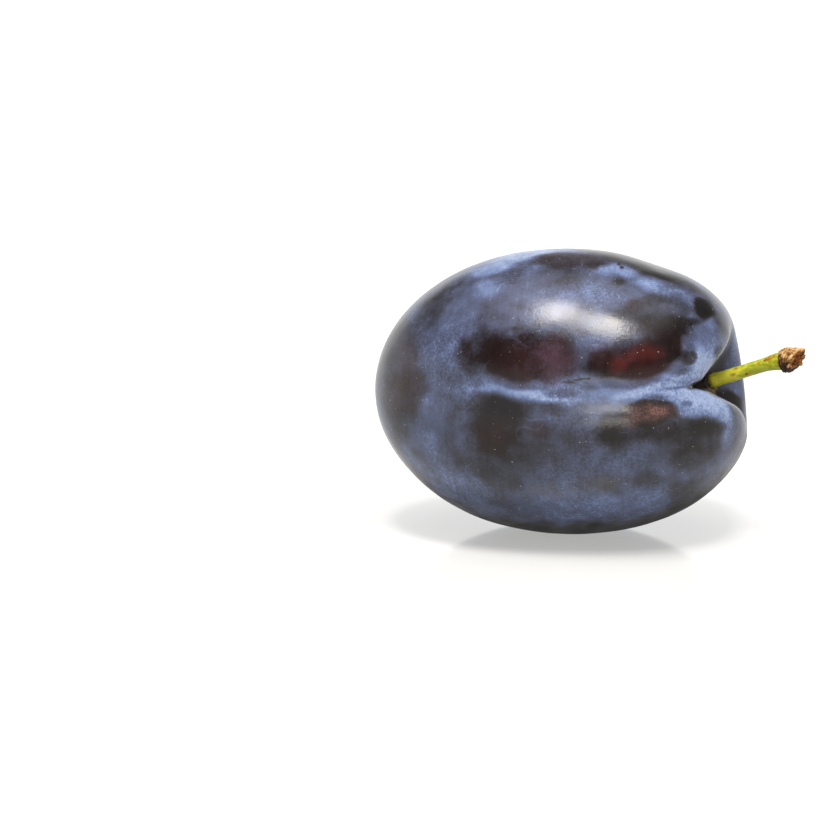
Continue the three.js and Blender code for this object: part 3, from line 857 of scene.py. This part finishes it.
# %% A path through points, and a profile carried along it
def curve_through(points, samples=500, past_end=0.12):
    """The one cubic through four points, how far along it each sample lies, and its length.

    Each point is weighted by a product of the distances from the other three,
    which is 1 at its own place and 0 at theirs. The cubic is sampled a little
    past its last point too, for a slanted end.
    """
    chord = np.concatenate([[0], np.cumsum(np.linalg.norm(np.diff(points, axis=0), axis=1))])
    share = np.linspace(0, chord[-1] * (1 + past_end), samples)
    curve = 0
    for i, point in enumerate(points):
        others = [(share - chord[j]) / (chord[i] - chord[j]) for j in range(len(points)) if j != i]
        curve = curve + np.prod(others, axis=0)[:, None] * point
    run = np.concatenate([[0], np.cumsum(np.linalg.norm(np.diff(curve, axis=0), axis=1))])
    return curve, run, np.interp(chord[-1], share, run)


def stand_on_curve(curve, run, station, sideways, upwards):
    """Points this far along the curve and this far off it, in the frame that the curve carries with it.

    The frame is the tangent, the level direction across it, and the one square
    to both. Each is read off at the station by straight steps between samples.
    """
    tangent = np.gradient(curve, axis=0)
    tangent /= np.linalg.norm(tangent, axis=1, keepdims=True)
    side = np.cross(tangent, (0, 0, 1))
    side /= np.linalg.norm(side, axis=1, keepdims=True)
    above = np.cross(side, tangent)

    def at(table):
        return np.stack([np.interp(station, run, table[:, axis]) for axis in range(3)], axis=-1)

    return at(curve) + at(side) * sideways[..., None] + at(above) * upwards[..., None]


# %% The stalk's outline
def stalk_profile(length):
    """Distance along and radius at even steps of the outline: foot, shank, knob, rim and hollow."""
    collar_at = length - KNOB_LENGTH * (1 - COLLAR)
    share = np.linspace(0, 1, SHANK_STEPS)
    shank = STALK_RADIUS + (FOOT_RADIUS - STALK_RADIUS) * bell(share, FOOT_FLARE)
    shank = shank + (NECK_RADIUS - STALK_RADIUS) * bell(1 - share, NECK_FLARE)
    along = [0, 0, *(SHANK_FROM + share * (collar_at - SHANK_FROM))]
    radius = [0, FOOT_DISC * FOOT_RADIUS, *shank]
    for wide, far in KNOB_OUTLINE:
        along.append(length - KNOB_LENGTH * (1 - far))
        radius.append(wide * KNOB_RADIUS)
    to_rim = len(along) - 1
    for wide, deep in HOLLOW_OUTLINE:
        along.append(length - deep * SCAR_DEPTH)
        radius.append(wide * KNOB_RADIUS)
    along, radius = np.array(along), np.array(radius)
    run = np.concatenate([[0], np.cumsum(np.hypot(np.diff(along), np.diff(radius)))])
    even = np.linspace(0, run[-1], STALK_ROWS)
    rim = np.interp(length, along[:to_rim], run[:to_rim])
    return np.interp(even, run, along), np.interp(even, run, radius), even > rim


stalk_curve, stalk_run, stalk_length = curve_through(STALK_PATH)
station, radius, inside = stalk_profile(stalk_length)
angle = np.arange(STALK_COLUMNS) / STALK_COLUMNS * 2 * np.pi
station, radius, inside, angle = np.broadcast_arrays(
    station[:, None], radius[:, None], inside[:, None], angle[None, :]
)
on_knob = (station - stalk_length) / KNOB_LENGTH + 1
wood = ease((on_knob - COLLAR + 0.03) / 0.05)
cork = bell(station, 0.6)
print("stalk grid:", STALK_ROWS, "x", STALK_COLUMNS, "points")

# %% [markdown]
# ## Bark
#
# The woody end has layers like rings where it joins the green, then lengthwise
# folds, cracks, lumps and grit. Bump alone would leave its outline smooth, so
# the layers and the noise move the surface itself. The broken face slants, and
# its rim is uneven and has one flap of bark that stands out.


# %% Bark
RING_STEP, RING_HEIGHT, RING_REACH = 0.36, 0.19, 0.3
FOLD_HEIGHT, LUMP_HEIGHT, SMALL_HEIGHT, CRACK_DEPTH, GRIT_HEIGHT = 0.15, 0.2, 0.17, 0.16, 0.08


def layered(phase):
    """Overlapping layers seen edge on: each rises slowly and ends in a step."""
    within = phase % 1
    return within * (1 - ease((within - 0.82) / 0.18)) * 2 - 0.8


def bark_relief(station, radius, angle):
    """How far the surface stands out: ring-like layers by the collar, then lengthwise folds and lumps."""
    unit = np.stack([np.cos(angle), np.sin(angle)], axis=-1)
    around = unit * np.maximum(radius, 0.5)[..., None]
    solid = np.concatenate([station[..., None], around], axis=-1)
    folds = cloud(solid * (0.4, 1, 1), 0.55, 51)
    lumps = cloud(solid, 1.0, 53)
    small = cloud(solid, 0.42, 55)
    grit = cloud(solid, 0.17, 54)
    ring = layered((station + 0.3 * lumps + 0.14 * small) / RING_STEP)
    near_collar = bell(on_knob - COLLAR - 0.1, RING_REACH)
    cracks = CRACK_DEPTH * bell(folds, 0.12)
    rough = FOLD_HEIGHT * folds + LUMP_HEIGHT * lumps + SMALL_HEIGHT * small - cracks
    bark = RING_HEIGHT * ring * (0.1 + 0.9 * near_collar) + rough * (1 - 0.4 * near_collar)
    bark = bark + GRIT_HEIGHT * grit
    shank = 0.014 * small + 0.008 * grit + 0.02 * lumps
    foot = 0.1 * small + 0.06 * grit
    return bark * wood + shank * (1 - wood) + foot * cork, lumps, small


# %% The broken end
FLAP_HEIGHT, FLAP_SIDE, FLAP_SPREAD = 0.08, 80, 45  # mm, and degrees round the stalk

relief, lumps, small = bark_relief(station, radius, angle)
clear_of_axis = ease(radius / (0.3 * KNOB_RADIUS))
bumpy = np.maximum(radius + relief * clear_of_axis, 0)
at_end = ease((on_knob - 0.25) / 0.75)
slant = SLANT_UP * bumpy * np.sin(angle) - SLANT_NEAR * bumpy * np.cos(angle)
angle_degrees = np.degrees(angle)
flap = FLAP_HEIGHT * bell(degrees_from(FLAP_SIDE, angle_degrees), FLAP_SPREAD) * ease((on_knob - 0.7) / 0.3)
ragged = (0.14 * lumps + 0.2 * small) * ease((on_knob - 0.6) / 0.4)
reach = station + slant * at_end + (flap + ragged) * clear_of_axis
sideways, upwards = bumpy * np.cos(angle), bumpy * np.sin(angle)
stalk_points = stand_on_curve(stalk_curve, stalk_run, np.maximum(reach, 0), sideways, upwards)
stalk_points[[0, -1]] = stalk_points[[0, -1]].mean(axis=1, keepdims=True)
on_bark = relief[wood > 0.5]
print("bark stands out from", round(float(on_bark.min()), 2), "to", round(float(on_bark.max()), 2), "mm")


# %% Rust flecks on the shank: along in mm, round in degrees, their two half-lengths, strength
STALK_FLECKS = {
    "upper fleck": (4.5, 58, 0.34, 17, 0.72),
    "middle fleck": (3.95, 6, 0.5, 13, 0.62),
    "edge fleck": (5.75, -28, 0.3, 16, 1.0),
    "edge fleck end": (6.3, -38, 0.35, 8, 0.6),
    "faint fleck": (7.9, 30, 0.35, 15, 0.45),
    "long scar": (9.4, 42, 0.6, 12, 1.0),
    "long scar end": (10.1, 46, 0.45, 12, 0.85),
    "far fleck": (5.2, 150, 0.5, 22, 0.8),
    "far scar": (8.2, 200, 0.8, 14, 0.8),
    "under fleck": (7.0, 262, 0.4, 18, 0.7),
}


def lay_flecks():
    """The strongest fleck at each point, each an ellipse with an uneven edge."""
    rust = np.zeros_like(station)
    for along, round_, half_along, half_round, strength in STALK_FLECKS.values():
        aside = degrees_from(round_, angle_degrees)
        distance = np.hypot((station - along) / half_along, aside / half_round) + 0.35 * small
        rust = np.maximum(rust, strength * ease((1.35 - distance) / 0.7))
    return rust * (1 - wood)


# %% The stalk's mesh
stalk = closed_surface(
    "plum_stalk",
    stalk_points * MM + np.array(BODY_CENTRE),
    {
        "wood": wood,
        "cork": cork,
        "rust": lay_flecks(),
        # Partly painted light: paler and yellower near the fruit, where the cavity's lip shades the shank.
        "pale": bell(station - 2.9, 2.3),
        # Painted shade: the shank's underside is darkened as if lit from above.
        "under": 0.6 * bell(degrees_from(-90, angle_degrees), 62),
        # Painted light and shade: the stored relief is raised on the knob's top and lowered underneath, so
        # the top colours paler and the underside darker.
        "relief": relief + 0.2 * np.sin(angle),
        "inside": ease((on_knob - 0.3) * 5) * inside,
        "pith": bell(radius, 0.42) * inside,
    },
)
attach(stalk, "root")
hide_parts("stem")
print("stalk:", len(stalk.data.polygons), "faces,", round(float(stalk_length), 1), "mm along its curve")


# %% [markdown]
# ## The stalk's finish
#
# The shank is fresh green with pale pores, and yellower low down near the
# fruit, partly its own colour and partly painted light where the cavity's lip
# shades it. Its underside is painted darker, as painted shade. The wood is
# coloured by its own relief: dark in the cracks, partly painted shade, and pale
# on what stands out, partly painted highlight; and it is painted paler on top
# and darker underneath, as light from above falls. One value that the mesh
# stores, 0 on the green and 1 on the wood, joins the two, so the collar stays
# crisp.

# %% The green of the shank
GREEN_DEEP, GREEN_FRESH = color(0.24, 0.27, 0.007), color(0.48, 0.52, 0.024)
YELLOW_AND_LIGHT, UNDERSIDE_SHADE_GREEN, PORE = color(0.78, 0.73, 0.06), color(0.13, 0.15, 0.003), color(0.68, 0.66, 0.2)
RUST_DEEP, RUST_BRIGHT = color(0.15, 0.05, 0.006), color(0.52, 0.2, 0.012)


def shank_color(tree, fibre, peel):
    """Fibrous green, and over it the yellow near the fruit, partly painted light, the underside darkened as
    painted shade, pores and rust.
    """
    green = mix_colors(tree, soft_step(tree, fibre, -0.2, 0.2), GREEN_DEEP, GREEN_FRESH)
    patchy = place_grain(tree, (1100, 1300, 1300), 4, 0.65)
    # Yellower near the fruit: partly the shank's own colour, partly painted light.
    yellowing_and_light = reckon(tree, "MULTIPLY_ADD", read_value(tree, "pale"), 0.34, patchy)
    green = mix_colors(tree, soft_step(tree, yellowing_and_light, 0.0, 0.3), green, YELLOW_AND_LIGHT)
    # Painted shade on the underside.
    green = mix_colors(tree, read_value(tree, "under"), green, UNDERSIDE_SHADE_GREEN)
    pores = reckon(tree, "MULTIPLY", place_specks(tree, 2600, 0.2, 0.6), 0.5)
    green = mix_colors(tree, pores, green, PORE)
    rust = mix_colors(tree, soft_step(tree, peel, -0.12, 0.08), RUST_DEEP, RUST_BRIGHT)
    return mix_colors(tree, read_value(tree, "rust"), green, rust)


# %% The brown of the wood
# Bark from the cracks to the ridges: darker low and paler high, partly its own colour and partly painted
# shade and highlight.
BARK_COLORS_AND_SHADING = [
    (0.25, (0.03, 0.011, 0.003)),
    (0.45, (0.105, 0.038, 0.006)),
    (0.62, (0.28, 0.118, 0.018)),
    (0.85, (0.72, 0.48, 0.22)),
]
CORE_DARK, CORE_LIGHT, PITH = color(0.04, 0.013, 0.004), color(0.46, 0.17, 0.035), color(0.75, 0.42, 0.09)


def wood_color(tree, crumb, peel):
    """The relief, roughened by crumbs and peel, picks the bark's colour: dark in the cracks, partly painted
    shade, pale on the ridges, partly painted highlight, and the stored relief is raised on top and lowered
    underneath as painted light and shade; the hollow has its own, and pith.
    """
    height_and_light_seen = reckon(tree, "MULTIPLY_ADD", crumb, 0.5, read_value(tree, "relief"))
    height_and_light_seen = reckon(tree, "MULTIPLY_ADD", peel, 0.45, height_and_light_seen)
    brown = ramp(tree, reckon(tree, "MULTIPLY_ADD", height_and_light_seen, 1.5, 0.42), BARK_COLORS_AND_SHADING)
    core = mix_colors(tree, soft_step(tree, peel, -0.15, 0.12), CORE_DARK, CORE_LIGHT)
    brown = mix_colors(tree, read_value(tree, "inside"), brown, core)
    return mix_colors(tree, reckon(tree, "MULTIPLY", read_value(tree, "pith"), 0.8), brown, PITH)


# %% The stalk's material
GLOSS_GREEN, GLOSS_WOOD = 0.42, 0.7  # roughness
STALK_RELIEF = 0.12 * MM


def make_stalk():
    """Green and brown joined by the stored wood, which also sets the roughness and the relief."""
    material, tree, shader = begin_material("stalk_bark", IOR=1.45)
    fibre, crumb = place_grain(tree, (600, 2300, 2300), 4, 0.65), place_grain(tree, 2600, 4, 0.7)
    peel = place_grain(tree, 1100, 4, 0.65)
    green, brown = shank_color(tree, fibre, peel), wood_color(tree, crumb, peel)
    woody = reckon(tree, "MAXIMUM", read_value(tree, "wood"), read_value(tree, "cork"))
    tree.links.new(mix_colors(tree, woody, green, brown), shader.inputs["Base Color"])
    tree.links.new(soft_step(tree, woody, 0, 1, GLOSS_GREEN, GLOSS_WOOD), shader.inputs["Roughness"])
    height = reckon(tree, "MULTIPLY_ADD", crumb, woody, reckon(tree, "MULTIPLY", fibre, 0.6))
    add_bump(tree, shader, height, STALK_RELIEF)
    return material


stalk.data.materials.append(make_stalk())
print("stalk:", len(stalk.data.materials[0].node_tree.nodes), "nodes")

# %% [markdown]
# ## The studio
#
# A plum this glossy is lit by what it mirrors. White surroundings give it the
# pale rims, and two small soft lamps overhead give the two bright patches on
# its upper flank. A weak one low in front gives the faint third, by the seam.
# The floor is a white sheet of acrylic that mirrors a little. It glows more
# for the camera than for the fruit, which keeps it white without washing out
# the fruit's underside.


# %% The floor
FLOOR_REACH, FLOOR_BEHIND = 1.6, 3.0  # metres
FLOOR_GLOSS = 0.12  # roughness
GLOW_SEEN, GLOW_CAST = 0.38, 0.17  # how brightly it glows for the camera, and for all else
FLOOR_GREY, FLOOR_WHITE = color(0.55, 0.55, 0.545), color(0.57, 0.57, 0.565)


def add_floor():
    """One large level face through the origin, a stage and not a piece of the part."""
    mesh = bpy.data.meshes.new("floor")
    near = [(-FLOOR_REACH, -FLOOR_REACH, 0), (FLOOR_REACH, -FLOOR_REACH, 0)]
    far = [(FLOOR_REACH, FLOOR_BEHIND, 0), (-FLOOR_REACH, FLOOR_BEHIND, 0)]
    mesh.from_pydata(near + far, [], [(0, 1, 2, 3)])
    floor = bpy.data.objects.new("floor", mesh)
    bpy.context.scene.collection.objects.link(floor)
    finish = {"Roughness": FLOOR_GLOSS, "Emission_Color": color(1, 1, 0.98)}
    material, tree, shader = begin_material("lit_acrylic", **finish)
    seen = tree.nodes.new("ShaderNodeLightPath").outputs["Is Camera Ray"]
    tree.links.new(mix_values(tree, seen, GLOW_CAST, GLOW_SEEN), shader.inputs["Emission Strength"])
    tone = soft_step(tree, place_grain(tree, 20, 2, 0.5), -0.5, 0.5)
    tree.links.new(mix_colors(tree, tone, FLOOR_GREY, FLOOR_WHITE), shader.inputs["Base Color"])
    mesh.materials.append(material)


add_floor()


# %% The lamps: towards, size in metres, power in watts, colour
LAMP_DISTANCE = 0.6
LAMPS = {
    "lamp main": ((-0.129, -0.209, 0.97), (0.078, 0.17), 1.65, (1, 0.95, 0.87)),
    "lamp second": ((0.124, -0.355, 0.935), (0.135, 0.185), 2.2, (1, 0.955, 0.89)),
    "lamp front": ((0.20, -0.97, 0.095), (0.19, 0.078), 0.62, (1, 0.98, 0.95)),
}


def add_lamp(name, towards, size, power, tone):
    """A soft oblong lamp that faces the fruit from this direction, its width along the fruit."""
    lamp = bpy.data.lights.new(name, "AREA")
    lamp.shape = "RECTANGLE"
    lamp.size, lamp.size_y = size
    lamp.energy, lamp.color = power, tone
    back = Vector(towards).normalized()
    across = Vector((back.z, 0, -back.x)).normalized()
    if abs(back.z) < 0.5:
        across = Vector((-back.y, back.x, 0)).normalized()
    turn = Matrix((across, back.cross(across), back)).transposed().to_4x4()
    holder = bpy.data.objects.new(name, lamp)
    holder.matrix_world = Matrix.Translation(BODY_CENTRE + back * LAMP_DISTANCE) @ turn
    bpy.context.scene.collection.objects.link(holder)


for name, settings in LAMPS.items():
    add_lamp(name, *settings)
print("lamps:", [settings[2] for settings in LAMPS.values()], "W at", LAMP_DISTANCE, "m")


# %% The surroundings
FRONT_SHARE = 0.85  # how bright it is behind the camera, against the rest
# How high the direction points, 0 level and 1 straight up, and how bright it is there.
SURROUNDINGS = [(0.0, 1.15), (0.2, 1.1), (0.42, 0.18), (0.8, 0.24), (0.93, 1.6), (1.0, 1.6)]


def add_surroundings():
    """White walls from the floor up, a dark space above them, a bright ceiling, dimmer behind the camera."""
    world = bpy.data.worlds.new("white surroundings")
    world.use_nodes = True
    tree = world.node_tree
    direction = add_node(tree, "ShaderNodeTexCoord").outputs["Generated"]
    apart = add_node(tree, "ShaderNodeSeparateXYZ", {0: direction})
    height = apart.outputs["Z"]
    shade = soft_step(tree, apart.outputs["Y"], -0.9, -0.1, FRONT_SHARE, 1.0)
    light = ramp(tree, height, [(high, (level, level, level)) for high, level in SURROUNDINGS])
    tree.links.new(light, tree.nodes["Background"].inputs["Color"])
    tree.links.new(shade, tree.nodes["Background"].inputs["Strength"])
    bpy.context.scene.world = world


add_surroundings()
bpy.context.scene.view_settings.view_transform = "Standard"
